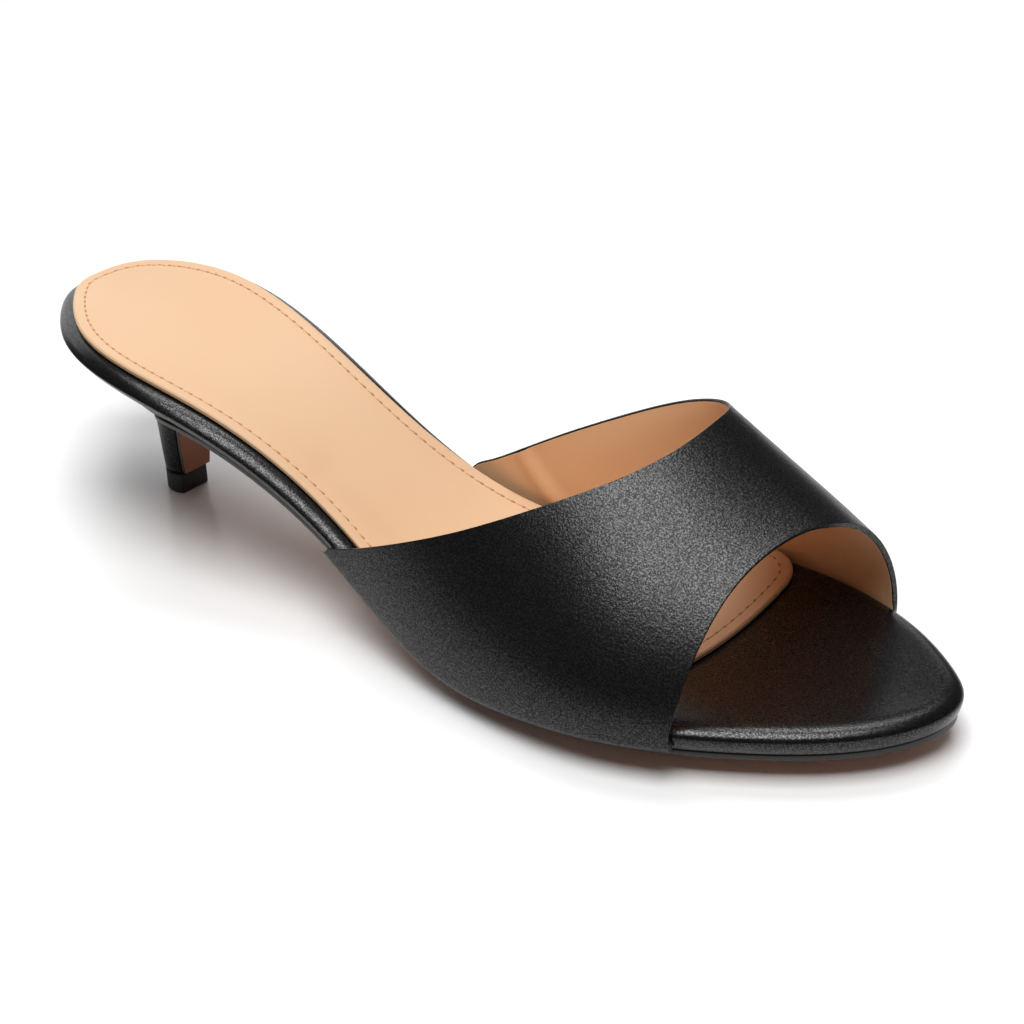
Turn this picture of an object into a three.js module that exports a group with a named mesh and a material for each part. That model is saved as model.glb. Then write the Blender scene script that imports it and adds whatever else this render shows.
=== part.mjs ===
// A right-foot kitten-heel mule: a backless open-toe slide with one leather band over the instep.
// Millimetres, +X from heel to toe, +Y to the wearer's left (the arch side), +Z up, floor at Z = 0.
import * as THREE from 'three';
import { mergeVertices } from 'three/addons/utils/BufferGeometryUtils.js';

// The last: its plan, its heights and its hollows.
const LENGTH = 242;
const HEEL_WIDTH = 54;
const WAIST_WIDTH = 44;
const BALL_WIDTH = 75;
const TOE_SWING = 16.5;
const HEEL_SWING = 5;
const SEAT_RISE = 38.1;
const TOE_SPRING = 3.1;
const DISH = 3.3;

// Thicknesses and the gap that glued pieces keep.
const GAP = 0.3;
const SOCK_THICK = 1.2;
const FOOTBED_THICK = 5.6;
const OUTSOLE_THICK = 1.6;
const TREAD_BELLY = 1.1;
const TREAD_FLATTENED = 1.6;
const UPPER_WALL = 1.7;

// The rim's height where the sole treads: the layers under it and the round of the sole, less
// what is flattened on the floor.
const TREAD_HEIGHT = FOOTBED_THICK + GAP + OUTSOLE_THICK + DISH + TREAD_BELLY - TREAD_FLATTENED;

// The edge of the wrapped footbed: a rounded top corner and a bevel under it.
const CORNER = 4.2;
const BEVEL = 9;

// The sock's rounded front end.
const SOCK_FRONT = LENGTH * 0.777;
const SOCK_CORNER = 10;
const SOCK_SLANT = 0.11;
const SOCK_BOW = 4;
const SOCK_MARGIN = 3.8;

// The band over the instep.
const INSTEP_ARCH = 80;
const INSTEP_LEAN = 22;
const ARCH_POWER = 1.75;
const SPRING_DROP = 1.0;

// The covered heel and its lift.
const STEM_CENTRE = LENGTH * 0.1417;
const STEM_WIDTH = 10;
const STEM_DEPTH = 8.2;
const STEM_TURN = -8;
const BREAST_STATION = LENGTH * 0.256;
const LIFT_HEIGHT = 5.7;
const LIFT_CHAMFER = 0.3;
const FLAP_THICK = 1.3;
const FLAP_END = LIFT_HEIGHT + 0.7;

// How finely the curved faces are cut.
const STATIONS = 40;
const ACROSS = 8;
const HEEL_STATIONS = 12;

// Half widths of the plan, as shares of the width that each row names, outer side and arch side.
const OUTLINE = [
  { along: 0.03, width: HEEL_WIDTH, outer: 0.245, inner: 0.274 },
  { along: 0.08, width: HEEL_WIDTH, outer: 0.42, inner: 0.4 },
  { along: 0.16, width: HEEL_WIDTH, outer: 0.545, inner: 0.46 },
  { along: 0.28, width: HEEL_WIDTH, outer: 0.525, inner: 0.398 },
  { along: 0.42, width: WAIST_WIDTH, outer: 0.565, inner: 0.46 },
  { along: 0.55, width: WAIST_WIDTH, outer: 0.69, inner: 0.632 },
  { along: 0.66, width: BALL_WIDTH, outer: 0.453, inner: 0.507 },
  { along: 0.76, width: BALL_WIDTH, outer: 0.46, inner: 0.535 },
  { along: 0.86, width: BALL_WIDTH, outer: 0.373, inner: 0.453 },
  { along: 0.93, width: BALL_WIDTH, outer: 0.28, inner: 0.31 },
  { along: 0.975, width: BALL_WIDTH, outer: 0.176, inner: 0.167 },
];

// Height of the footbed's rim over the tread: shares of the seat's rise and of the toe spring.
// Dish is the share of the hollow across the bed, and bevel the share of the bevel's depth.
const PROFILE = [
  { along: 0, rise: 0.926, spring: 0, dish: 0.2, bevel: 1 },
  { along: 0.15, rise: 1, spring: 0, dish: 0.45, bevel: 0.5 },
  { along: 0.3, rise: 0.824, spring: 0, dish: 0.5, bevel: 0.28 },
  { along: 0.45, rise: 0.325, spring: 0, dish: 0.7, bevel: 0.213 },
  { along: 0.58, rise: 0, spring: 0, dish: 0.95, bevel: 0.18 },
  { along: 0.7, rise: 0, spring: 0.45, dish: 1, bevel: 0.16 },
  { along: 0.85, rise: 0, spring: 0.87, dish: 0.5, bevel: 0.127 },
  { along: 1, rise: 0, spring: 1, dish: 0, bevel: 0.093 },
];

// The footbed's side from its top face down: shares of the corner, the bevel and the thickness.
const FOOTBED_SIDE = [
  { corner: 1, bevel: 0, drop: 0 },
  { corner: 0.55, bevel: 0, drop: 0.05 },
  { corner: 0.22, bevel: 0, drop: 0.16 },
  { corner: 0, bevel: 0, drop: 0.34 },
  { corner: 0, bevel: 0.12, drop: 0.54 },
  { corner: 0, bevel: 0.34, drop: 0.71 },
  { corner: 0, bevel: 0.65, drop: 0.87 },
  { corner: 0, bevel: 1, drop: 1 },
];

// Where the band's rear edge, the collar, and its front edge lie: shares of the length, by the
// share of the way round the arch from the outer side to the arch side.
const BAND = [
  { round: 0, collar: 0.438, front: 0.821 },
  { round: 0.12, collar: 0.5455, front: 0.823 },
  { round: 0.3, collar: 0.688, front: 0.8245 },
  { round: 0.5, collar: 0.73, front: 0.851 },
  { round: 0.7, collar: 0.687, front: 0.868 },
  { round: 0.88, collar: 0.549, front: 0.877 },
  { round: 1, collar: 0.453, front: 0.879 },
];

// The arch that the band makes over the bed: its height and its lean to the arch side.
const ARCH = [
  { along: 0.42, height: 1.225, lean: 0.9 },
  { along: 0.52, height: 1, lean: 1 },
  { along: 0.682, height: 0.66, lean: 0.886 },
  { along: 0.78, height: 0.482, lean: 0.645 },
  { along: 0.847, height: 0.391, lean: 0.414 },
  { along: 0.88, height: 0.354, lean: 0.28 },
];

// The band's skirt beside the footbed: shares of the footbed's thickness down from the spring
// line, of the wall outwards for both faces, and of the collar's run back.
const COLLAR_RUN_BACK = 3;
const SKIRT = [
  { drop: 0.28, outer: 1, inner: 0, back: 0.25 },
  { drop: 0.5, outer: 0.95, inner: 0, back: 0.5 },
  { drop: 0.68, outer: 0.62, inner: -0.25, back: 0.8 },
  { drop: 0.8, outer: 0.25, inner: -0.6, back: 1 },
];

// The heel from the seat down to the lift: how far its sides and its breast have drawn in.
const HEEL_FLARE = [
  { down: 0, gather: 0, breast: 0 },
  { down: 0.03, gather: 0.05, breast: 0.3 },
  { down: 0.08, gather: 0.16, breast: 0.5 },
  { down: 0.16, gather: 0.36, breast: 0.68 },
  { down: 0.3, gather: 0.67, breast: 0.84 },
  { down: 0.5, gather: 0.893, breast: 0.94 },
  { down: 0.75, gather: 0.953, breast: 0.985 },
  { down: 1, gather: 1, breast: 1 },
];

// A natural cubic curve through a table's rows, from one column to another.
function curveOf(xs, ys) {
  const last = xs.length - 1;
  const slope = new Array(last + 1).fill(0);
  const carry = new Array(last + 1).fill(0);
  const bend = new Array(last + 1).fill(0);
  for (let i = 1; i < last; i++) {
    const before = xs[i] - xs[i - 1];
    const after = xs[i + 1] - xs[i];
    const pull = 6 * ((ys[i + 1] - ys[i]) / after - (ys[i] - ys[i - 1]) / before);
    const weight = 2 * (before + after) - before * slope[i - 1];
    slope[i] = after / weight;
    carry[i] = (pull - before * carry[i - 1]) / weight;
  }
  for (let i = last - 1; i > 0; i--) {
    bend[i] = carry[i] - slope[i] * bend[i + 1];
  }
  return (x) => {
    let i = 1;
    while (i < last && x > xs[i]) i++;
    const span = xs[i] - xs[i - 1];
    const left = (xs[i] - x) / span;
    const right = 1 - left;
    const curl = (left ** 3 - left) * bend[i - 1] + (right ** 3 - right) * bend[i];
    return left * ys[i - 1] + right * ys[i] + (curl * span * span) / 6;
  };
}

const columnOf = (table, from, to) => (
  curveOf(table.map((row) => row[from]), table.map((row) => row[to]))
);
const mix = (a, b, share) => a + (b - a) * share;
const turnAt = (along) => Math.acos(1 - 2 * THREE.MathUtils.clamp(along, 0, 1));
const alongAt = (turn) => (1 - Math.cos(turn)) / 2;

// Half width over the sine of the turn: smooth round both ends of the plan.
function halfWidth(side) {
  const turns = OUTLINE.map((row) => turnAt(row.along));
  const rates = OUTLINE.map((row, i) => (row[side] * row.width) / Math.sin(turns[i]));
  return curveOf([0, ...turns, Math.PI], [rates[0], ...rates, rates.at(-1)]);
}

const outerRate = halfWidth('outer');
const innerRate = halfWidth('inner');
const riseCurve = columnOf(PROFILE, 'along', 'rise');
const springCurve = columnOf(PROFILE, 'along', 'spring');
const dishCurve = columnOf(PROFILE, 'along', 'dish');
const bevelCurve = columnOf(PROFILE, 'along', 'bevel');
const gatherCurve = columnOf(HEEL_FLARE, 'down', 'gather');
const breastCurve = columnOf(HEEL_FLARE, 'down', 'breast');
const collarCurve = columnOf(BAND, 'round', 'collar');
const frontCurve = columnOf(BAND, 'round', 'front');
const archCurve = columnOf(ARCH, 'along', 'height');
const leanCurve = columnOf(ARCH, 'along', 'lean');

// The plan's middle leans to the arch side at both ends.
const TOE_SWING_SHARE = 0.6;
const HEEL_SWING_SHARE = 0.25;
function swingAt(along) {
  const toe = Math.max(0, along - TOE_SWING_SHARE) / (1 - TOE_SWING_SHARE);
  const heel = Math.max(0, HEEL_SWING_SHARE - along) / HEEL_SWING_SHARE;
  return TOE_SWING * toe ** 2 + HEEL_SWING * heel ** 2;
}

const rimHeight = (x) => {
  const along = THREE.MathUtils.clamp(x / LENGTH, 0, 1);
  return TREAD_HEIGHT + SEAT_RISE * riseCurve(along) + TOE_SPRING * springCurve(along);
};
const bevelAt = (along) => BEVEL * bevelCurve(along);

// The two edges of the plan at a station.
function edgesAt(x) {
  const turn = turnAt(x / LENGTH);
  const swing = swingAt(alongAt(turn));
  return [swing - outerRate(turn) * Math.sin(turn), swing + innerRate(turn) * Math.sin(turn)];
}

// A point of the plan, by its turn: 0 at the back, half a turn at the toe, past the outer side.
function rimPoint(turn) {
  const folded = turn > Math.PI ? 2 * Math.PI - turn : Math.abs(turn);
  const outer = turn >= 0 && turn <= Math.PI;
  const rate = outer ? -outerRate(folded) : innerRate(folded);
  const along = alongAt(folded);
  return new THREE.Vector2(along * LENGTH, swingAt(along) + rate * Math.sin(folded));
}

// The same point moved inwards, square to the plan's edge.
const TURN_STEP = 0.01;
function insetPoint(turn, inset) {
  const ahead = rimPoint((turn + TURN_STEP) % (2 * Math.PI));
  const behind = rimPoint(turn - TURN_STEP);
  const way = ahead.sub(behind).normalize();
  return rimPoint(turn).add(new THREE.Vector2(-way.y, way.x).multiplyScalar(inset));
}

// How far a point is from the middle of the bed towards its edge, 0 to 1. Its ends are left out,
// where the plan has no width.
const END_SHARE = 0.004;
function edgeShare(x, y) {
  const [outer, inner] = edgesAt(THREE.MathUtils.clamp(x, END_SHARE * LENGTH, (1 - END_SHARE) * LENGTH));
  const half = (inner - outer) / 2;
  return Math.min(1, Math.abs(y - (outer + inner) / 2) / half);
}

// The top of the footbed: the rim's height, hollowed across.
function bedHeight(x, y) {
  const along = THREE.MathUtils.clamp(x / LENGTH, 0, 1);
  return rimHeight(x) - DISH * dishCurve(along) * (1 - edgeShare(x, y) ** 2) ** 2;
}

// One closed body from two faces of equal grids and the rings between their rims. Points that
// meet are welded, and faces that vanish at a pole are dropped.
function closedBody(upper, lower, rings = []) {
  const corners = [];
  const face = (a, b, c) => corners.push(...a.toArray(), ...b.toArray(), ...c.toArray());
  const quad = (a, b, c, d) => {
    face(a, b, c);
    face(a, c, d);
  };
  for (let i = 0; i + 1 < upper.length; i++) {
    for (let j = 0; j + 1 < upper[i].length; j++) {
      quad(upper[i][j], upper[i + 1][j], upper[i + 1][j + 1], upper[i][j + 1]);
      quad(lower[i][j], lower[i][j + 1], lower[i + 1][j + 1], lower[i + 1][j]);
    }
  }
  const loops = [rimOf(upper), ...rings, rimOf(lower)];
  for (let k = 0; k + 1 < loops.length; k++) {
    const [above, below] = [loops[k], loops[k + 1]];
    above.forEach((point, i) => {
      const next = (i + 1) % above.length;
      quad(point, below[i], below[next], above[next]);
    });
  }
  const loose = new THREE.BufferGeometry();
  loose.setAttribute('position', new THREE.Float32BufferAttribute(corners, 3));
  const welded = mergeVertices(loose, 1e-3);
  const index = [];
  const all = welded.index.array;
  for (let i = 0; i < all.length; i += 3) {
    const [a, b, c] = [all[i], all[i + 1], all[i + 2]];
    if (a !== b && b !== c && c !== a) index.push(a, b, c);
  }
  welded.setIndex(index);
  welded.computeVertexNormals();
  return welded;
}

// The points round the border of a grid, in order.
function rimOf(grid) {
  const last = grid.length - 1;
  const wide = grid[0].length - 1;
  const loop = grid.map((row) => row[0]);
  for (let j = 1; j <= wide; j++) loop.push(grid[last][j]);
  for (let i = last - 1; i >= 0; i--) loop.push(grid[i][wide]);
  for (let j = wide - 1; j > 0; j--) loop.push(grid[0][j]);
  return loop;
}

// Rows of plan points from one edge to the other, at each turn of a list.
function planRows(turns, insetOf, across) {
  return turns.map((turn) => {
    const outer = insetPoint(turn, insetOf(alongAt(turn), 'outer'));
    const inner = insetPoint(2 * Math.PI - turn, insetOf(alongAt(turn), 'inner'));
    return spread(outer, inner, across);
  });
}

const steps = (count, from, to) => Array.from({ length: count + 1 }, (_, i) => mix(from, to, i / count));
const spread = (from, to, across) => steps(across, 0, 1).map((share) => from.clone().lerp(to, share));
const raised = (rows, heightOf) => rows.map((row) => (
  row.map((p) => new THREE.Vector3(p.x, p.y, heightOf(p.x, p.y)))
));

// The stations that the footbed, the sock and the outsole share.
const STATION_TURNS = steps(STATIONS, 0, Math.PI);
const CLOSE_TURN = 0.02;

function footbedBody() {
  const levels = FOOTBED_SIDE.map((row) => {
    const inset = (along) => CORNER * row.corner + bevelAt(along) * row.bevel;
    const rows = planRows(STATION_TURNS, inset, ACROSS);
    return raised(rows, (x, y) => bedHeight(x, y) - FOOTBED_THICK * row.drop);
  });
  return closedBody(levels[0], levels.at(-1), levels.slice(1, -1).map(rimOf));
}

// The sock's margin inside the footbed's edge: it runs out to the lining on the arch side.
const SOCK_MARGINS = [
  { along: 0, outer: 0.85, inner: 1 },
  { along: 0.16, outer: 1.1, inner: 0.9 },
  { along: 0.42, outer: 1.05, inner: 0.8 },
  { along: 0.6, outer: 0.9, inner: 0.3 },
  { along: 0.78, outer: 0.8, inner: 0.12 },
  { along: 1, outer: 0.8, inner: 0.12 },
];
const SOCK_EDGE = 0.35;
const SOCK_SLANT_START = LENGTH * 0.62;
const CORNER_ROWS = 6;

function sockRows(edgeInset) {
  const margins = {
    outer: columnOf(SOCK_MARGINS, 'along', 'outer'),
    inner: columnOf(SOCK_MARGINS, 'along', 'inner'),
  };
  const inset = (along, side) => SOCK_MARGIN * margins[side](along) + edgeInset;
  const front = SOCK_FRONT - edgeInset;
  const cornerTurn = turnAt((front - SOCK_CORNER) / LENGTH);
  const cornerTurns = steps(CORNER_ROWS, 0, Math.PI / 2).slice(1).map((arc) => ({
    turn: turnAt((front - SOCK_CORNER * (1 - Math.sin(arc))) / LENGTH),
    tuck: SOCK_CORNER * (1 - Math.cos(arc)),
  }));
  const turns = STATION_TURNS.filter((turn) => turn < cornerTurn - CLOSE_TURN);
  const rows = planRows([...turns, cornerTurn], inset, ACROSS);
  for (const { turn, tuck } of cornerTurns) {
    const outer = insetPoint(turn, inset(alongAt(turn), 'outer'));
    const inner = insetPoint(2 * Math.PI - turn, inset(alongAt(turn), 'inner'));
    outer.y += tuck;
    inner.y -= tuck;
    rows.push(spread(outer, inner, ACROSS));
  }
  for (const row of rows) {
    for (const p of row) {
      const lean = THREE.MathUtils.smoothstep(p.x, SOCK_SLANT_START, SOCK_FRONT - SOCK_CORNER);
      const bow = SOCK_BOW * (1 - edgeShare(p.x, p.y) ** 2);
      p.x += lean * (SOCK_SLANT * (p.y - TOE_SWING) + bow - SOCK_BOW / 2);
    }
  }
  return rows;
}

function sockBody() {
  const top = raised(sockRows(SOCK_EDGE), (x, y) => bedHeight(x, y) + GAP + SOCK_THICK);
  const shoulder = raised(sockRows(0), (x, y) => bedHeight(x, y) + GAP + SOCK_THICK - SOCK_EDGE);
  const bottom = raised(sockRows(0), (x, y) => bedHeight(x, y) + GAP);
  return closedBody(top, bottom, [rimOf(shoulder)]);
}

// The underside of the footbed, where the outsole and the heel are glued on.
const SEAT_DROP = FOOTBED_THICK + GAP;
const underside = (x, y) => bedHeight(x, y) - SEAT_DROP;

// The stem's section: an arc round the back and a flat breast, turned with the heel's axis.
const STEM_ARC = THREE.MathUtils.degToRad(131);
function stemPoint(share, side, grow) {
  const angle = STEM_ARC * share;
  const forward = (1 - Math.cos(angle)) / (1 - Math.cos(STEM_ARC)) - 0.5;
  const across = side * Math.sin(angle);
  const point = new THREE.Vector2((STEM_DEPTH + 2 * grow) * forward, (STEM_WIDTH / 2 + grow) * across);
  point.rotateAround(new THREE.Vector2(), THREE.MathUtils.degToRad(STEM_TURN));
  return point.setX(point.x + STEM_CENTRE);
}

// A heel section as rows from its back to its breast, at a share of the way down.
function heelRows(down, grow = 0) {
  const seatTurn = turnAt(BREAST_STATION / LENGTH);
  return steps(HEEL_STATIONS, 0, 1).map((share) => {
    const pair = [-1, 1].map((side) => {
      const turn = side < 0 ? seatTurn * share : 2 * Math.PI - seatTurn * share;
      const seat = insetPoint(turn, bevelAt(alongAt(seatTurn * share)) + GAP);
      const stem = stemPoint(share, side, grow);
      const forward = mix(gatherCurve(down), breastCurve(down), share ** 3);
      return new THREE.Vector2(mix(seat.x, stem.x, forward), mix(seat.y, stem.y, gatherCurve(down)));
    });
    return spread(pair[0], pair[1], ACROSS);
  });
}

// The heights of a heel section: from the curved seat down to the flat end of the stem.
function heelLevel(down) {
  const seat = heelRows(0);
  return heelRows(down).map((row, i) => row.map((p, j) => {
    const above = underside(seat[i][j].x, seat[i][j].y);
    return new THREE.Vector3(p.x, p.y, mix(above, LIFT_HEIGHT + GAP, down));
  }));
}

const HEEL_LEVELS = [0, 0.03, 0.07, 0.12, 0.18, 0.25, 0.33, 0.42, 0.52, 0.64, 0.8, 1];

function heelBody() {
  const levels = HEEL_LEVELS.map((down) => heelLevel(down));
  return closedBody(levels[0], levels.at(-1), levels.slice(1, -1).map(rimOf));
}

function liftBody() {
  const at = (z, grow) => heelRows(1, grow).map((row) => row.map((p) => new THREE.Vector3(p.x, p.y, z)));
  return closedBody(at(LIFT_HEIGHT, 0), at(0, -LIFT_CHAMFER), [rimOf(at(LIFT_CHAMFER, 0))]);
}

// The outsole runs from the toe back under the footbed, turns down the heel's breast and ends
// as a flap over the lift.
function outsoleBody() {
  const flapStart = heelLevel(0).at(-1)[0].z;
  const flapDown = (flapStart - FLAP_END) / (flapStart - LIFT_HEIGHT - GAP);
  const breastDowns = HEEL_LEVELS.filter((down) => down > 0 && down < flapDown);
  const breast = [flapDown, ...breastDowns.reverse()].map((down) => heelLevel(down).at(-1));
  const turns = STATION_TURNS.filter((turn) => turn > turnAt(BREAST_STATION / LENGTH) + CLOSE_TURN);
  const inset = (along) => bevelAt(along) + GAP;
  const under = raised(planRows(turns, inset, ACROSS), underside);
  const inside = [...breast, ...under];
  const midway = ACROSS / 2;
  const flapReach = BREAST_STATION - STEM_CENTRE;
  const outside = inside.map((row, i) => {
    const ahead = inside[Math.min(i + 1, inside.length - 1)][midway];
    const behind = inside[Math.max(i - 1, 0)][midway];
    const way = ahead.clone().sub(behind).setY(0).normalize();
    const out = new THREE.Vector3(way.z, 0, -way.x);
    const flap = THREE.MathUtils.clamp((BREAST_STATION - row[midway].x) / flapReach, 0, 1);
    return row.map((p) => {
      const hollow = (1 - edgeShare(p.x, p.y) ** 2) ** 2;
      const belly = TREAD_BELLY * dishCurve(p.x / LENGTH) * hollow * (1 - flap);
      const thick = mix(OUTSOLE_THICK, FLAP_THICK, flap);
      const q = p.clone().addScaledVector(out, thick);
      return q.setZ(Math.max(0, q.z - belly));
    });
  });
  const gapped = inside.map((row, i) => row.map((p, j) => {
    const clear = outside[i][j].clone().sub(p).setLength(i < breast.length ? GAP : 0);
    return p.clone().add(clear);
  }));
  return closedBody(gapped, outside);
}

// A point of the band's outer face, by the share round the arch and the share from collar to front.
function archPoint(round, forward) {
  const x = LENGTH * mix(collarCurve(round), frontCurve(round), forward);
  const arch = INSTEP_ARCH * archCurve(x / LENGTH);
  const lean = INSTEP_LEAN * leanCurve(x / LENGTH);
  const [outer, inner] = edgesAt(x);
  const half = (inner - outer) / 2 + UPPER_WALL + GAP;
  const angle = Math.PI * round;
  const power = 2 / ARCH_POWER;
  const across = Math.sign(Math.cos(angle)) * Math.abs(Math.cos(angle)) ** power;
  const y = (outer + inner) / 2 - half * across + lean * Math.sin(angle) ** 2;
  return new THREE.Vector3(x, y, rimHeight(x) - SPRING_DROP + arch * Math.sin(angle) ** power);
}

// The skirt that closes the band down the footbed's side, one face at a time.
function skirtPoint(row, side, face, forward) {
  const end = side < 0 ? 0 : 1;
  const collar = LENGTH * collarCurve(end) - COLLAR_RUN_BACK * row.back;
  const x = mix(collar, LENGTH * frontCurve(end), forward);
  const edges = edgesAt(x);
  const out = GAP + UPPER_WALL * row[face];
  const y = side < 0 ? edges[0] - out : edges[1] + out;
  return new THREE.Vector3(x, y, rimHeight(x) - SPRING_DROP - FOOTBED_THICK * row.drop);
}

// How finely the band is cut, how far its cuts crowd towards the sides, and the small step that
// finds the way square to its face.
const BAND_ROUND_STEPS = 44;
const BAND_FORWARD_STEPS = 10;
const BAND_CROWDING = 0.25;
const PROBE = 0.004;

function upperBody() {
  const crowded = (share) => mix(share, alongAt(Math.PI * share), BAND_CROWDING);
  const rounds = steps(BAND_ROUND_STEPS, 0, 1).map(crowded);
  const forwards = steps(BAND_FORWARD_STEPS, 0, 1);
  const shapeRow = (forward) => {
    const outerSkirt = [...SKIRT].reverse();
    const outside = [
      ...outerSkirt.map((row) => skirtPoint(row, -1, 'outer', forward)),
      ...rounds.map((round) => archPoint(round, forward)),
      ...SKIRT.map((row) => skirtPoint(row, 1, 'outer', forward)),
    ];
    const lining = rounds.map((round) => {
      const low = THREE.MathUtils.clamp(round, PROBE, 1 - PROBE);
      const alongWay = archPoint(low, forward + PROBE).sub(archPoint(low, forward - PROBE));
      const roundWay = archPoint(low + PROBE, forward).sub(archPoint(low - PROBE, forward));
      const out = alongWay.cross(roundWay).normalize();
      return archPoint(round, forward).addScaledVector(out, -UPPER_WALL);
    });
    const inside = [
      ...outerSkirt.map((row) => skirtPoint(row, -1, 'inner', forward)),
      ...lining,
      ...SKIRT.map((row) => skirtPoint(row, 1, 'inner', forward)),
    ];
    return { outside, inside };
  };
  const rows = forwards.map(shapeRow);
  return closedBody(rows.map((row) => row.outside), rows.map((row) => row.inside));
}

const finish = (color, roughness) => new THREE.MeshStandardMaterial({ color, roughness, metalness: 0 });
const blackLeather = finish(0x17171a, 0.45);
const tanLining = finish(0xf0c59a, 0.6);
const soleTan = finish(0x7a4f35, 0.55);
const liftBlack = finish(0x0c0c0d, 0.5);

const shoe = new THREE.Group();
const pieces = [
  ['upper', upperBody(), blackLeather],
  ['footbed', footbedBody(), blackLeather],
  ['sock', sockBody(), tanLining],
  ['outsole', outsoleBody(), soleTan],
  ['heel', heelBody(), blackLeather],
  ['top_piece', liftBody(), liftBlack],
];
for (const [name, geometry, material] of pieces) {
  const mesh = new THREE.Mesh(geometry, material);
  mesh.name = name;
  shoe.add(mesh);
}

// The origin is under the middle of the shoe's box, on the floor.
const middle = new THREE.Box3().setFromObject(shoe).getCenter(new THREE.Vector3());
shoe.position.set(-middle.x, -middle.y, 0);

export default shoe;
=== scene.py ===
"""Looks of a right-foot kitten-heel mule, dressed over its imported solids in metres."""

import logging
import math
from dataclasses import dataclass, field
from enum import Enum

import bmesh
import bpy
from mathutils import Matrix, Vector
from mathutils.bvhtree import BVHTree
from mathutils.kdtree import KDTree


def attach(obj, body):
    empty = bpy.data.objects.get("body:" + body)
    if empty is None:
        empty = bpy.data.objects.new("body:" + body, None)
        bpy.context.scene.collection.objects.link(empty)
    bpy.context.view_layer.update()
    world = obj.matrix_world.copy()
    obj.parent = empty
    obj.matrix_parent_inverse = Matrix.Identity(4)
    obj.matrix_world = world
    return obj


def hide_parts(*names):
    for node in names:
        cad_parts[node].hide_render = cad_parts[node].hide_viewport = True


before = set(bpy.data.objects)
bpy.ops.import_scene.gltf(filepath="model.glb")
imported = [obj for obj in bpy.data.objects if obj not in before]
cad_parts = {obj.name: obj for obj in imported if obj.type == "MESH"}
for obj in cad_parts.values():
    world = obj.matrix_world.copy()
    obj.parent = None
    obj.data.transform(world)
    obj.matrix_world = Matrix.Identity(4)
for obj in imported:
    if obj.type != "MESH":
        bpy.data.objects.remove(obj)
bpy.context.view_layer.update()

MM = 0.001
BODY = "root"
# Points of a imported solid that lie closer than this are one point.
WELD = 0.002 * MM
# Two triangles become a quad where they bend and skew by less than this, in degrees.
PAIR_BEND = 50
PAIR_SKEW = 89

Form = bmesh.types.BMesh
Faces = list[bmesh.types.BMFace]
Tree = bpy.types.NodeTree
Socket = bpy.types.NodeSocket

log = logging.getLogger("mule")


class Slot(Enum):
    """The record's finishes."""

    LEATHER = "black_leather"
    LINING = "tan_lining"
    SOLE = "tan_sole"
    LIFT = "black_lift"


def linear(code: str) -> tuple[float, float, float, float]:
    """Turns an sRGB hex colour into linear light.

    Args:
        code: six hex digits.

    Returns:
        Red, green, blue and full alpha.
    """
    shares = [int(code[i:i + 2], 16) / 255 for i in (0, 2, 4)]
    lights = [s / 12.92 if s <= 0.04045 else ((s + 0.055) / 1.055) ** 2.4 for s in shares]
    return (*lights, 1.0)


def add_node(tree: Tree, kind: str, settings: dict | None = None, values: dict | None = None,
             links: dict | None = None) -> bpy.types.Node:
    """Adds a node with its settings and links.

    Args:
        tree: the tree that holds it.
        kind: the node's type name.
        settings: properties of the node itself.
        values: unlinked inputs, by name or number.
        links: inputs fed by another node's output, by name or number.

    Returns:
        The new node.
    """
    made = tree.nodes.new(kind)
    for name, value in (settings or {}).items():
        setattr(made, name, value)
    for name, value in (values or {}).items():
        made.inputs[name].default_value = value
    for name, source in (links or {}).items():
        tree.links.new(source, made.inputs[name])
    return made


def open_material(name: str) -> tuple[bpy.types.Material, Tree, Socket]:
    """Starts a node material.

    Args:
        name: the finish's name.

    Returns:
        The material, its tree and the piece's Object coordinates.
    """
    material = bpy.data.materials.new(name)
    material.use_nodes = True
    tree = material.node_tree
    tree.nodes.clear()
    return material, tree, add_node(tree, "ShaderNodeTexCoord").outputs["Object"]


def two_tone(tree: Tree, place: Socket, tones: tuple[str, str], size_mm: float,
             detail: float) -> tuple[Socket, Socket]:
    """Clouds a surface between two close tones.

    Args:
        tree: the material's tree.
        place: the coordinates that it follows.
        tones: the darker and the lighter hex colour.
        size_mm: the size of a cloud.
        detail: how finely the clouds break up.

    Returns:
        The cloud's value and the colour.
    """
    cloud = add_node(tree, "ShaderNodeTexNoise", values={"Scale": 1 / (size_mm * MM), "Detail": detail},
                     links={"Vector": place}).outputs["Fac"]
    colour = add_node(tree, "ShaderNodeMix", {"data_type": "RGBA"},
                      {6: linear(tones[0]), 7: linear(tones[1])}, {0: cloud})
    return cloud, colour.outputs[2]


def close_material(tree: Tree, values: dict, links: dict) -> None:
    """Ends a material in its shader and its output.

    Args:
        tree: the material's tree.
        values: the shader's plain values, by name.
        links: the sockets that feed the shader, by name.
    """
    shader = add_node(tree, "ShaderNodeBsdfPrincipled", values=values, links=links)
    add_node(tree, "ShaderNodeOutputMaterial", links={"Surface": shader.outputs["BSDF"]})


@dataclass(frozen=True)
class Finish:
    """A surface finish under the name of the real one."""

    name: str

    def material(self) -> bpy.types.Material:
        """Builds the finish as a node material."""
        raise NotImplementedError(self.name)


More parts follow.
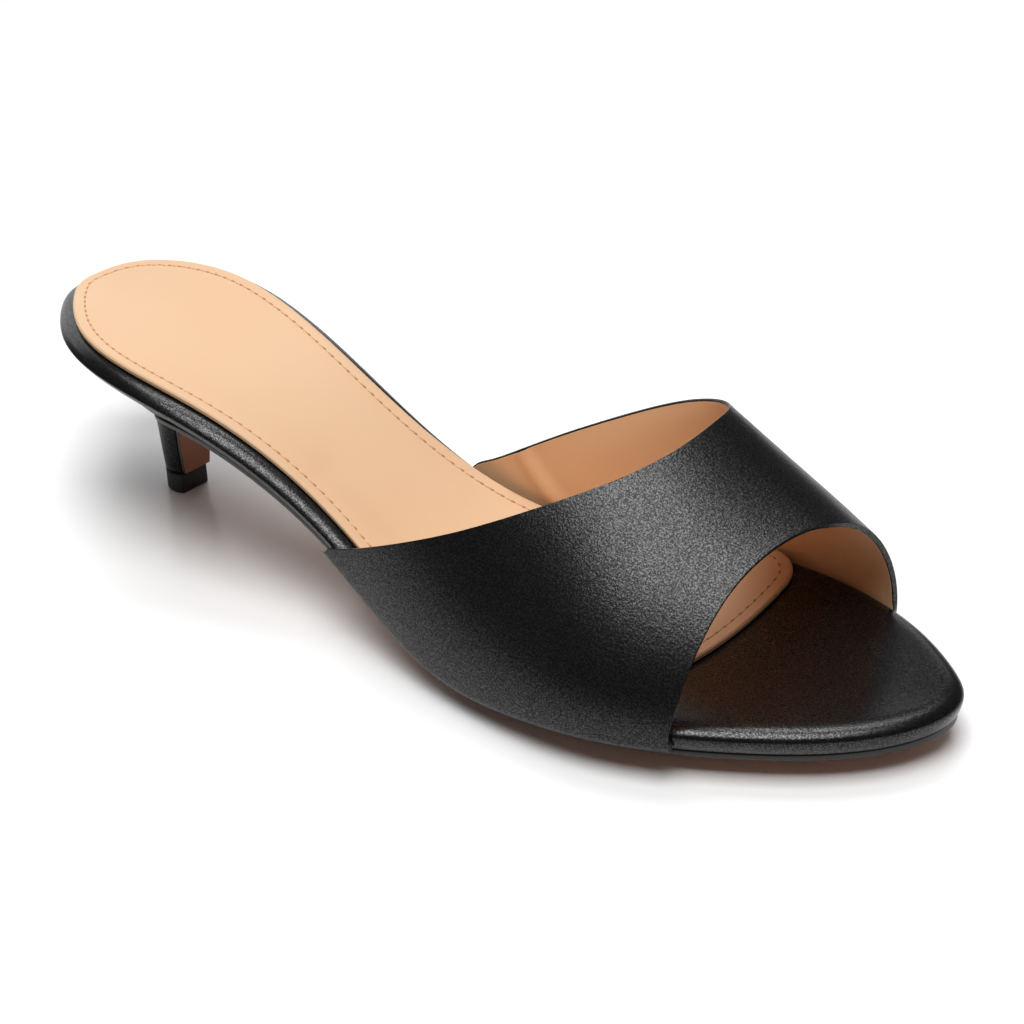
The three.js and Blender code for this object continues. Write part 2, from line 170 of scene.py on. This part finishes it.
@dataclass(frozen=True)
class CorrectedGrainLeather(Finish):
    """Corrected-grain cowhide with a black pigment finish, plated to a fine pebble.

    The pebble's tops carry the thin lacquer and its pits hold little of it, so a lamp breaks up
    into bright specks, while the pigment stays nearly black.
    """

    dark: str = "090909"
    light: str = "0d0d0e"
    mottle_mm: float = 14.0
    mottle_detail: float = 3.0
    roughness: float = 0.32
    roughness_spread: float = 0.05
    pit_specular: float = 0.16
    top_specular: float = 0.72
    pit_level: float = 0.42
    top_level: float = 0.69
    grain_mm: float = 0.7
    grain_smoothness: float = 0.7
    grain_depth_mm: float = 0.03
    pore_mm: float = 0.36
    pore_detail: float = 2.0
    pore_depth_mm: float = 0.045
    lacquer_ior: float = 1.5

    def material(self) -> bpy.types.Material:
        """Builds the leather from two scales of grain over a faint mottle."""
        material, tree, place = open_material(self.name)
        mottle, colour = two_tone(tree, place, (self.dark, self.light), self.mottle_mm,
                                  self.mottle_detail)
        rough = add_node(tree, "ShaderNodeMapRange",
                         values={"To Min": self.roughness - self.roughness_spread / 2,
                                 "To Max": self.roughness + self.roughness_spread / 2},
                         links={"Value": mottle})
        pebble = add_node(tree, "ShaderNodeTexVoronoi", {"feature": "SMOOTH_F1"},
                          {"Scale": 1 / (self.grain_mm * MM), "Smoothness": self.grain_smoothness},
                          {"Vector": place})
        pores = add_node(tree, "ShaderNodeTexNoise",
                         values={"Scale": 1 / (self.pore_mm * MM), "Detail": self.pore_detail},
                         links={"Vector": place})
        coarse = add_node(tree, "ShaderNodeBump",
                          values={"Strength": 1.0, "Distance": self.grain_depth_mm * MM},
                          links={"Height": pebble.outputs["Distance"]})
        fine = add_node(tree, "ShaderNodeBump",
                        values={"Strength": 1.0, "Distance": self.pore_depth_mm * MM},
                        links={"Height": pores.outputs["Fac"], "Normal": coarse.outputs["Normal"]})
        lacquer = add_node(tree, "ShaderNodeMapRange",
                           values={"From Min": self.pit_level, "From Max": self.top_level,
                                   "To Min": self.pit_specular, "To Max": self.top_specular},
                           links={"Value": pores.outputs["Fac"]})
        close_material(tree, {"IOR": self.lacquer_ior},
                       {"Base Color": colour, "Roughness": rough.outputs["Result"],
                        "Specular IOR Level": lacquer.outputs["Result"],
                        "Normal": fine.outputs["Normal"]})
        return material


@dataclass(frozen=True)
class LiningLeather(Finish):
    """Smooth coated pigskin: matte tan with fine creases, drawn longer across, and a soft glow."""

    dark: str
    light: str
    mottle_mm: float = 26.0
    mottle_detail: float = 4.0
    roughness: float = 0.5
    specular: float = 0.28
    sheen: float = 0.08
    crease_mm: float = 1.1
    crease_depth_mm: float = 0.02
    crease_detail: float = 3.0
    crease_twist: float = 0.6
    crease_stretch: tuple[float, float, float] = (1.0, 0.45, 1.0)
    crease_turn: tuple[float, float, float] = (0.0, 0.0, 0.5)

    def material(self) -> bpy.types.Material:
        """Builds the lining from a soft mottle and fine stretched creases."""
        material, tree, place = open_material(self.name)
        _, colour = two_tone(tree, place, (self.dark, self.light), self.mottle_mm, self.mottle_detail)
        stretched = add_node(tree, "ShaderNodeMapping",
                             values={"Scale": self.crease_stretch, "Rotation": self.crease_turn},
                             links={"Vector": place})
        creases = add_node(tree, "ShaderNodeTexNoise",
                           values={"Scale": 1 / (self.crease_mm * MM), "Detail": self.crease_detail,
                                   "Distortion": self.crease_twist},
                           links={"Vector": stretched.outputs["Vector"]})
        bump = add_node(tree, "ShaderNodeBump",
                        values={"Strength": 1.0, "Distance": self.crease_depth_mm * MM},
                        links={"Height": creases.outputs["Fac"]})
        close_material(tree, {"Roughness": self.roughness, "Specular IOR Level": self.specular,
                              "Sheen Weight": self.sheen},
                       {"Base Color": colour, "Normal": bump.outputs["Normal"]})
        return material


@dataclass(frozen=True)
class MouldedSole(Finish):
    """Moulded and buffed thermoplastic rubber: satin, with a faint grit from the buffing wheel."""

    dark: str
    light: str
    cloud_mm: float = 16.67
    cloud_detail: float = 5.0
    roughness: float = 0.5
    grit_mm: float = 0.5
    grit_detail: float = 2.0
    grit_depth_mm: float = 0.02

    def material(self) -> bpy.types.Material:
        """Builds the rubber from one noise for its colour and one for its grit."""
        material, tree, place = open_material(self.name)
        _, colour = two_tone(tree, place, (self.dark, self.light), self.cloud_mm, self.cloud_detail)
        grit = add_node(tree, "ShaderNodeTexNoise",
                        values={"Scale": 1 / (self.grit_mm * MM), "Detail": self.grit_detail},
                        links={"Vector": place})
        bump = add_node(tree, "ShaderNodeBump",
                        values={"Strength": 1.0, "Distance": self.grit_depth_mm * MM},
                        links={"Height": grit.outputs["Fac"]})
        close_material(tree, {"Roughness": self.roughness},
                       {"Base Color": colour, "Normal": bump.outputs["Normal"]})
        return material


@dataclass(frozen=True)
class BondedThread(Finish):
    """Bonded polyester sewing thread: matte, with the twist too fine to see."""

    dark: str
    light: str
    shade_mm: float = 1.5
    shade_detail: float = 2.0
    roughness: float = 0.7

    def material(self) -> bpy.types.Material:
        """Builds the thread from a fine change of shade."""
        material, tree, place = open_material(self.name)
        _, colour = two_tone(tree, place, (self.dark, self.light), self.shade_mm, self.shade_detail)
        close_material(tree, {"Roughness": self.roughness}, {"Base Color": colour})
        return material


@dataclass(frozen=True)
class LacqueredTable(Finish):
    """A white lacquered board: a soft mirror whose colour is painted darker with distance in metres
    from the shoe, as painted shade standing in for its light falling off.
    """

    near: str = "f6f6f6"
    # Painted shade: the darker tone that the board takes with distance, not its own colour.
    distant_painted_shade: str = "6e6e6e"
    # Distances in metres over which the painted shade comes in.
    shade_fades: tuple[float, float] = (0.3, 0.62)
    roughness: float = 0.16

    def material(self) -> bpy.types.Material:
        """Builds the board from a smooth blend between its white tone and a darker tone of painted
        shade, by distance.
        """
        material, tree, place = open_material(self.name)
        away = add_node(tree, "ShaderNodeVectorMath", {"operation": "LENGTH"}, links={0: place})
        # Painted shade grows with distance from the shoe.
        fade = add_node(tree, "ShaderNodeMapRange", {"interpolation_type": "SMOOTHSTEP"},
                        {"From Min": self.shade_fades[0], "From Max": self.shade_fades[1]},
                        {"Value": away.outputs["Value"]})
        colour = add_node(tree, "ShaderNodeMix", {"data_type": "RGBA"},
                          {6: linear(self.near), 7: linear(self.distant_painted_shade)}, {0: fade.outputs["Result"]})
        close_material(tree, {"Roughness": self.roughness}, {"Base Color": colour.outputs[2]})
        return material


VAMP_LEATHER = CorrectedGrainLeather("corrected_grain_vamp")
# Leather pulled tight round the footbed lies smoother, so its rim shines more.
WRAP_LEATHER = CorrectedGrainLeather("corrected_grain_wrap", roughness=0.24, top_specular=0.78,
                                     grain_depth_mm=0.008, pore_depth_mm=0.03)
# The heel's cover is rubbed dull in the lasting.
COVER_LEATHER = CorrectedGrainLeather("corrected_grain_heel_cover", pit_specular=0.08,
                                      top_specular=0.3, pore_depth_mm=0.02)
SOCK_LEATHER = LiningLeather("coated_sock", "d0aa86", "d6b28e", roughness=0.45)
BAND_LINING = LiningLeather("coated_lining", "e2b083", "e9bc92")
SOLE_RUBBER = MouldedSole("buffed_sole", "824f2c", "955f39")
EDGE_INK = MouldedSole("inked_edge", "0c0b0b", "181513", roughness=0.4)
LIFT_RUBBER = MouldedSole("moulded_lift", "040404", "080808")
SOCK_THREAD = BondedThread("sock_thread", "d3a274", "e2b58a")
# Painted shade: darker tan beads stand in for the shade inside each needle hole.
HOLE_PAINTED_SHADE = BondedThread("needle_hole_painted_shade", "a0714b", "b0815a")
# The table's colour carries painted shade that darkens it with distance from the shoe.
TABLE_TOP = LacqueredTable("white_table_painted_falloff")


def copy_solid(node: str) -> Form:
    """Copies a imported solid, welded, with its triangles paired back into quads.

    Args:
        node: the solid's name.

    Returns:
        A closed bmesh in the part's frame.
    """
    form = bmesh.new()
    form.from_mesh(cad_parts[node].data)
    bmesh.ops.remove_doubles(form, verts=form.verts, dist=WELD)
    bmesh.ops.join_triangles(form, faces=form.faces, angle_face_threshold=math.radians(PAIR_BEND),
                             angle_shape_threshold=math.radians(PAIR_SKEW), cmp_seam=False,
                             cmp_sharp=False, cmp_uvs=False, cmp_vcols=False, cmp_materials=False)
    form.normal_update()
    return form


def sharp_edges(form: Form, limit: float) -> list[bmesh.types.BMEdge]:
    """Returns the edges whose faces meet at more than a limit in degrees."""
    bend = math.radians(limit)
    return [edge for edge in form.edges if edge.is_manifold and edge.calc_face_angle(0.0) > bend]


def islands(form: Form, limit: float) -> list[Faces]:
    """Splits a form into the faces that its sharp edges part, the widest first.

    Args:
        form: the closed form.
        limit: the angle in degrees past which an edge is sharp.

    Returns:
        Lists of faces, by falling area.
    """
    fences = set(sharp_edges(form, limit))
    left = set(form.faces)
    found = []
    while left:
        patch = [left.pop()]
        for face in patch:
            for edge in face.edges:
                if edge not in fences:
                    near = [other for other in edge.link_faces if other in left]
                    left.difference_update(near)
                    patch.extend(near)
        found.append(patch)
    return sorted(found, key=lambda patch: -sum(face.calc_area() for face in patch))


def mark(faces: Faces, number: int) -> None:
    """Gives faces the number of a material."""
    for face in faces:
        face.material_index = number


def crease(form: Form, limit: float, weight: float) -> None:
    """Holds the sharp edges of a form where they are while it is smoothed.

    Args:
        form: the coarse form.
        limit: the angle in degrees past which an edge is sharp.
        weight: how firmly they are held, up to 1.
    """
    layer = form.edges.layers.float.new("crease_edge")
    for edge in sharp_edges(form, limit):
        edge[layer] = weight


def make_object(form: Form, name: str, *finishes: Finish) -> bpy.types.Object:
    """Turns a bmesh into a smooth-shaded object at the origin and frees it.

    Args:
        form: the shape, in the part's frame.
        name: the object's name.
        finishes: its finishes, in the order of the faces' numbers.

    Returns:
        The new object.
    """
    mesh = bpy.data.meshes.new(name)
    form.to_mesh(mesh)
    form.free()
    mesh.shade_smooth()
    for finish in finishes:
        mesh.materials.append(finish.material())
    made = bpy.data.objects.new(name, mesh)
    bpy.context.scene.collection.objects.link(made)
    return made


def smoothed(form: Form, levels: int) -> Form:
    """Subdivides a form by Catmull and Clark's rule, and frees the coarse one.

    Args:
        form: the coarse form.
        levels: how many times each face is split.

    Returns:
        The fine form.
    """
    rough = make_object(form, "rough")
    step = rough.modifiers.new("smooth", "SUBSURF")
    step.levels = levels
    step.render_levels = levels
    shape = rough.evaluated_get(bpy.context.evaluated_depsgraph_get()).to_mesh()
    fine = bmesh.new()
    fine.from_mesh(shape)
    mesh = rough.data
    bpy.data.objects.remove(rough)
    bpy.data.meshes.remove(mesh)
    fine.normal_update()
    return fine


def dress(made: bpy.types.Object, slot: Slot, *nodes: str) -> None:
    """Seats a piece on the body, hides the solids that it stands for, and logs its face count.

    Args:
        made: the piece.
        slot: the record's finish for it; not used.
        nodes: the solids that it replaces.
    """
    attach(made, BODY)
    if nodes:
        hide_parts(*nodes)
    log.info("%s: %d faces", made.name, len(made.data.polygons))


@dataclass(frozen=True)
class Fold:
    """A soft trough or ridge pressed into a skin along one line, in millimetres."""

    start: tuple[float, float, float]
    end: tuple[float, float, float]
    width: float
    height: float

    def lift(self, spot: Vector) -> float:
        """Tells how far a point moves out.

        Args:
            spot: the point in metres.

        Returns:
            The height in metres at the fold's line, falling off to both sides and past its ends.
        """
        start = Vector(self.start) * MM
        way = Vector(self.end) * MM - start
        share = (spot - start).dot(way) / way.length_squared
        near = start + way * min(1.0, max(0.0, share))
        distance = (spot - near).length / (self.width * MM)
        return self.height * MM * math.exp(-distance * distance)


# The arch leaves a shallow trough across the sock, with a low ridge beside it.
SOCK_FOLDS = [
    Fold((-27.0, -15.0, 31.0), (-6.0, -13.2, 19.0), width=4.5, height=-0.35),
    Fold((-24.0, -19.0, 29.5), (-9.0, -18.5, 21.0), width=2.2, height=0.1),
]
# The lining bunches into one ridge where the band comes down on the arch side.
LINING_FOLDS = [
    Fold((0.0, 19.8, 27.0), (8.0, 22.0, 16.0), width=1.9, height=0.7),
    Fold((4.0, 20.6, 27.0), (11.5, 23.2, 16.5), width=2.4, height=-0.25),
]


def press(faces: Faces, folds: list[Fold]) -> None:
    """Moves the points of some faces out along their normals by the folds.

    Args:
        faces: the skin's faces.
        folds: the folds that cross it.
    """
    points = {vert for face in faces for vert in face.verts}
    moves = [(vert, vert.normal * sum(fold.lift(vert.co) for fold in folds)) for vert in points]
    for vert, move in moves:
        vert.co += move


@dataclass
class Band:
    """The wide leather band over the instep, with its folded edges and its lining.

    Sizes are in millimetres and angles in degrees.
    """

    edge_angle: float = 55.0
    edge_radius: float = 0.27
    edge_segments: int = 3
    fold_margin: float = 0.08
    collar_skive: float = 1.05
    front_skive: float = 0.4
    front_facing: float = 0.15
    underside_facing: float = -0.6
    lining_hold: float = 0.3
    lining_clear: float = 0.02
    lining_thick: float = 0.1
    levels: int = 2
    folds: list[Fold] = field(default_factory=list)

    def build(self) -> None:
        """Builds the leather and then the lining from the same inner face."""
        form = copy_solid("upper")
        lined = islands(form, self.edge_angle)[1]
        self.thin(lined)
        margin = (self.edge_radius + self.fold_margin) * MM
        bmesh.ops.inset_region(form, faces=lined, thickness=margin, use_even_offset=True)
        held = bmesh.ops.inset_region(form, faces=lined, thickness=self.lining_hold * MM,
                                      use_even_offset=True)["faces"]
        mark(form.faces, 0)
        mark(lined + held, 1)
        bmesh.ops.bevel(form, geom=sharp_edges(form, self.edge_angle), offset=self.edge_radius * MM,
                        offset_type="OFFSET", segments=self.edge_segments, profile=0.5,
                        affect="EDGES", clamp_overlap=True, material=-1)
        fine = smoothed(form, self.levels)
        press([face for face in fine.faces if face.material_index == 1], self.folds)
        fine.normal_update()
        lining = fine.copy()
        mark(fine.faces, 0)
        dress(make_object(fine, "band_leather", VAMP_LEATHER), Slot.LEATHER, "upper")
        self.line(lining)

    def thin(self, inner: Faces) -> None:
        """Skives the leather towards the collar and the toe opening, from its inner face.

        Args:
            inner: the faces of the band's inside.
        """
        kept = set(inner)
        moves: dict[bmesh.types.BMVert, float] = {}
        for face in inner:
            for edge in face.edges:
                for other in edge.link_faces:
                    if other not in kept and other.normal.z > self.underside_facing:
                        front = other.normal.x > self.front_facing
                        depth = self.front_skive if front else self.collar_skive
                        moves.update({vert: depth for vert in edge.verts})
        for vert, depth in moves.items():
            facing = sum((face.normal for face in vert.link_faces if face in kept), Vector())
            vert.co -= facing.normalized() * depth * MM

    def line(self, form: Form) -> None:
        """Cuts the lining out of the band's inner face.

        Args:
            form: the fine band, its lined faces marked with material 1.
        """
        bare = [face for face in form.faces if face.material_index != 1]
        bmesh.ops.delete(form, geom=bare, context="FACES")
        form.normal_update()
        for vert in form.verts:
            vert.co += vert.normal * self.lining_clear * MM
        mark(form.faces, 0)
        made = make_object(form, "band_lining", BAND_LINING)
        wall = made.modifiers.new("wall", "SOLIDIFY")
        wall.thickness = self.lining_thick * MM
        wall.offset = 1.0
        dress(made, Slot.LINING)


@dataclass
class Footbed:
    """The insole board wrapped in black leather, with a rounded rim and a bevel under it."""

    edge_angle: float = 50.0
    edge_hold: float = 0.8
    levels: int = 2

    def build(self) -> None:
        """Builds the wrapped board."""
        form = copy_solid("footbed")
        crease(form, self.edge_angle, self.edge_hold)
        fine = smoothed(form, self.levels)
        dress(make_object(fine, "wrapped_footbed", WRAP_LEATHER), Slot.LEATHER, "footbed")


@dataclass
class Seam:
    """A row of stitches near the edge of a skin, with darker beads of painted shade at the needle holes
    between them, in millimetres.
    """

    inset: float = 2.5
    walk_step: float = 1.0
    walk_reach: int = 3
    pitch: float = 2.8
    length: float = 1.7
    thread: float = 0.46
    # The sizes of the bead that paints the shade of a needle hole.
    hole_length: float = 1.3
    hole_width: float = 0.62
    hole_depth: float = 0.207
    bead_turns: int = 8
    bead_rings: int = 6
    groove_width: float = 0.8
    groove_depth: float = 0.12

    def path(self, faces: Faces) -> list[Vector]:
        """Walks the border of a patch of faces.

        Args:
            faces: the patch.

        Returns:
            The border's points, in order.
        """
        patch = set(faces)
        ways: dict[bmesh.types.BMVert, bmesh.types.BMVert] = {}
        for face in faces:
            for loop in face.loops:
                if loop.link_loop_radial_next.face not in patch:
                    ways[loop.vert] = loop.link_loop_next.vert
        start = next(iter(ways))
        walk = [start]
        while ways[walk[-1]] is not start:
            walk.append(ways[walk[-1]])
        return [vert.co.copy() for vert in walk]

    def spaced(self, points: list[Vector], pitch: float) -> list[Vector]:
        """Spaces points evenly along a closed path.

        Args:
            points: the path's own points.
            pitch: the wanted spacing in millimetres, met as nearly as comes out whole.

        Returns:
            The spaced points.
        """
        lengths = [(points[(i + 1) % len(points)] - p).length for i, p in enumerate(points)]
        count = max(3, round(sum(lengths) / (pitch * MM)))
        step = sum(lengths) / count
        placed = []
        gone = 0.0
        for i, length in enumerate(lengths):
            while len(placed) < count and len(placed) * step < gone + length:
                share = (len(placed) * step - gone) / length
                placed.append(points[i].lerp(points[(i + 1) % len(points)], share))
            gone += length
        return placed

    def line(self, border: list[Vector], skin: BVHTree) -> list[Vector]:
        """Moves a border inwards over its skin to where the seam runs.

        Args:
            border: the skin's border.
            skin: the skin.

        Returns:
            The seam's points on the skin.
        """
        ring = self.spaced(border, self.walk_step)
        reach = self.walk_reach
        moved = []
        for i, point in enumerate(ring):
            tangent = (ring[(i + reach) % len(ring)] - ring[i - reach]).normalized()
            inwards = Vector((0, 0, 1)).cross(tangent).normalized()
            moved.append(skin.find_nearest(point + inwards * self.inset * MM)[0])
        return moved

    def bead(self, form: Form, seat: Matrix, length: float, width: float, depth: float) -> None:
        """Adds one long round bead to a form.

        Args:
            form: the form that takes it.
            seat: the bead's place and turn.
            length: its size along the seam in millimetres.
            width: its size across.
            depth: its size along the skin's normal.
        """
        halves = Matrix.Diagonal((length / 2 * MM, width / 2 * MM, depth / 2 * MM, 1))
        bmesh.ops.create_uvsphere(form, u_segments=self.bead_turns, v_segments=self.bead_rings,
                                  radius=1.0, matrix=seat @ halves)

    def sew(self, line: list[Vector], skin: BVHTree) -> tuple[Form, Form]:
        """Lays the stitches along a line, and at each needle hole a darker bead of painted shade.

        Args:
            line: the seam's points on the skin.
            skin: the skin that they lie on.

        Returns:
            The threads and the painted-shade beads at the needle holes, each as one form.
        """
        threads = bmesh.new()
        holes = bmesh.new()
        spots = self.spaced(line, self.pitch)
        for i, spot in enumerate(spots):
            ahead = (spots[(i + 1) % len(spots)] - spots[i - 1]).normalized()
            place, normal, _, _ = skin.find_nearest(spot)
            across = normal.cross(ahead).normalized()
            turn = Matrix((ahead, across, normal)).transposed().to_4x4()
            self.bead(threads, Matrix.Translation(place) @ turn, self.length, self.thread, self.thread)
            # A darker bead of painted shade at the needle hole.
            foot = skin.find_nearest(place + ahead * self.pitch / 2 * MM)[0]
            self.bead(holes, Matrix.Translation(foot) @ turn, self.hole_length, self.hole_width,
                      self.hole_depth)
        return threads, holes


@dataclass
class Sock:
    """The tan stitched insole that lies on the footbed, in millimetres and degrees."""

    edge_angle: float = 28.0
    edge_hold: float = 1.0
    levels: int = 3
    heel_reach: float = 1.1
    row_gap: float = 0.1
    seam: Seam = field(default_factory=Seam)
    folds: list[Fold] = field(default_factory=list)

    def build(self) -> None:
        """Builds the sock with its sunk seam, then its stitches."""
        form = copy_solid("sock")
        self.point_heel(form)
        patches = islands(form, self.edge_angle)
        mark([face for face in patches[0] + patches[1] if face.normal.z > 0], 1)
        crease(form, self.edge_angle, self.edge_hold)
        fine = smoothed(form, self.levels)
        top = [face for face in fine.faces if face.material_index == 1]
        line = self.seam.line(self.seam.path(top), BVHTree.FromBMesh(fine))
        self.sink(top, line)
        press(top, self.folds)
        mark(fine.faces, 0)
        fine.normal_update()
        threads, holes = self.seam.sew(line, BVHTree.FromBMesh(fine))
        dress(make_object(fine, "stitched_sock", SOCK_LEATHER), Slot.LINING, "sock")
        dress(make_object(threads, "sock_stitches", SOCK_THREAD), Slot.LINING)
        # Darker beads paint the shade inside the needle holes.
        dress(make_object(holes, "sock_needle_hole_painted_shade", HOLE_PAINTED_SHADE), Slot.LINING)

    def point_heel(self, form: Form) -> None:
        """Draws each short row of points at the heel's back together, so the outline closes.

        Args:
            form: the sock's copied solid.
        """
        back = min(form.verts, key=lambda vert: vert.co.x).co.copy()
        reach = back.x + self.heel_reach * MM
        gap = self.row_gap * MM
        ends = [vert for vert in form.verts if vert.co.x < reach and abs(vert.co.y - back.y) < gap]
        rows: list[list[bmesh.types.BMVert]] = []
        for vert in sorted(ends, key=lambda vert: vert.co.z):
            if rows and vert.co.z - rows[-1][-1].co.z < gap:
                rows[-1].append(vert)
            else:
                rows.append([vert])
        for row in rows:
            middle = sum((vert.co for vert in row), Vector()) / len(row)
            bmesh.ops.pointmerge(form, verts=row, merge_co=middle)
        form.normal_update()

    def sink(self, top: Faces, line: list[Vector]) -> None:
        """Presses the seam's groove into the top face.

        Args:
            top: the faces of the top.
            line: the seam's points.
        """
        tree = KDTree(len(line))
        for i, point in enumerate(line):
            tree.insert(point, i)
        tree.balance()
        for vert in {vert for face in top for vert in face.verts}:
            distance = tree.find(vert.co)[2] / (self.seam.groove_width * MM)
            vert.co.z -= self.seam.groove_depth * MM * math.exp(-distance * distance)


@dataclass
class Outsole:
    """The thin sole sheet with an inked edge, and its flap down the heel's breast."""

    edge_angle: float = 45.0
    edge_hold: float = 0.9
    levels: int = 2

    def build(self) -> None:
        """Builds the sheet: tan on its two broad faces, inked black round its edge."""
        form = copy_solid("outsole")
        for patch in islands(form, self.edge_angle)[2:]:
            mark(patch, 1)
        crease(form, self.edge_angle, self.edge_hold)
        fine = smoothed(form, self.levels)
        dress(make_object(fine, "tan_outsole", SOLE_RUBBER, EDGE_INK), Slot.SOLE, "outsole")


@dataclass
class Heel:
    """The covered heel and the lift under it."""

    edge_angle: float = 40.0
    edge_hold: float = 0.7
    levels: int = 2

    def build(self) -> None:
        """Builds the cover and the lift."""
        pieces = [("heel", "covered_heel", COVER_LEATHER, Slot.LEATHER),
                  ("top_piece", "heel_lift", LIFT_RUBBER, Slot.LIFT)]
        for node, name, finish, slot in pieces:
            form = copy_solid(node)
            crease(form, self.edge_angle, self.edge_hold)
            dress(make_object(smoothed(form, self.levels), name, finish), slot, node)


@dataclass(frozen=True)
class Softbox:
    """A white softbox that faces the shoe: bearing from +X towards +Y and height in degrees."""

    name: str
    azimuth: float
    elevation: float
    away_m: float
    size_m: tuple[float, float]
    watts: float
    aim_height: float = 20.0

    def hang(self) -> None:
        """Hangs the lamp."""
        data = bpy.data.lights.new(self.name, "AREA")
        data.shape = "RECTANGLE"
        data.size, data.size_y = self.size_m
        data.energy = self.watts
        made = bpy.data.objects.new(self.name, data)
        bpy.context.scene.collection.objects.link(made)
        bearing = math.radians(self.azimuth)
        height = math.radians(self.elevation)
        way = Vector((math.cos(bearing) * math.cos(height), math.sin(bearing) * math.cos(height),
                      math.sin(height)))
        turn = way.to_track_quat("Z", "Y").to_matrix().to_4x4()
        aim = Vector((0, 0, self.aim_height * MM))
        made.matrix_world = Matrix.Translation(way * self.away_m + aim) @ turn


LAMPS = [
    Softbox("overhead", azimuth=-60, elevation=77, away_m=1.3, size_m=(0.82, 0.82), watts=17.5),
    Softbox("far_box", azimuth=125, elevation=65, away_m=1.3, size_m=(0.8, 0.5), watts=7),
    Softbox("backdrop", azimuth=138, elevation=15, away_m=2.2, size_m=(2.9, 1.4), watts=15),
]


@dataclass
class Studio:
    """A white table under soft lamps, and a camera at the picture's angle.

    Angles are in degrees, the table's span is in metres and the other sizes are in millimetres.
    """

    azimuth: float = 38.17
    elevation: float = 33.56
    roll: float = -1.81
    distance: float = 590.0
    aim: tuple[float, float, float] = (10.6, 2.8, 23.9)
    lens: float = 91.4
    sensor: float = 36.0
    nearest_seen: float = 10.0
    table_span: float = 6.0
    table_drop: float = 0.05
    surroundings: float = 0.11
    lamps: list[Softbox] = field(default_factory=list)

    def camera(self) -> None:
        """Places the camera on its ray through the aim."""
        data = bpy.data.cameras.new("camera")
        data.lens = self.lens
        data.sensor_width = self.sensor
        data.clip_start = self.nearest_seen * MM
        made = bpy.data.objects.new("camera", data)
        bpy.context.scene.collection.objects.link(made)
        turn = (Matrix.Rotation(math.radians(self.azimuth), 4, "Z")
                @ Matrix.Rotation(math.radians(90 - self.elevation), 4, "X"))
        roll = Matrix.Rotation(math.radians(self.roll), 4, "Z")
        spot = (Vector(self.aim) + turn @ Vector((0, 0, 1)) * self.distance) * MM
        made.matrix_world = Matrix.Translation(spot) @ turn @ roll
        bpy.context.scene.camera = made

    def table(self) -> None:
        """Lays the white glossy table."""
        form = bmesh.new()
        bmesh.ops.create_grid(form, x_segments=1, y_segments=1, size=self.table_span / 2,
                              matrix=Matrix.Translation((0, 0, -self.table_drop * MM)))
        make_object(form, "table", TABLE_TOP)

    def light(self) -> None:
        """Sets the lamps and the pale surroundings."""
        for lamp in self.lamps:
            lamp.hang()
        world = bpy.data.worlds.new("studio")
        world.use_nodes = True
        background = world.node_tree.nodes["Background"]
        background.inputs["Color"].default_value = linear("ffffff")
        background.inputs["Strength"].default_value = self.surroundings
        bpy.context.scene.world = world
        bpy.context.scene.view_settings.view_transform = "Standard"

    def build(self) -> None:
        """Sets up the camera, the table and the lamps."""
        self.camera()
        self.table()
        self.light()


def main() -> None:
    """Builds the studio and then the shoe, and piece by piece."""
    logging.basicConfig(level=logging.INFO, format="%(message)s")
    Studio(lamps=LAMPS).build()
    Footbed().build()
    Outsole().build()
    Heel().build()
    Sock(folds=SOCK_FOLDS).build()
    Band(folds=LINING_FOLDS).build()


if __name__ == "__main__":
    main()
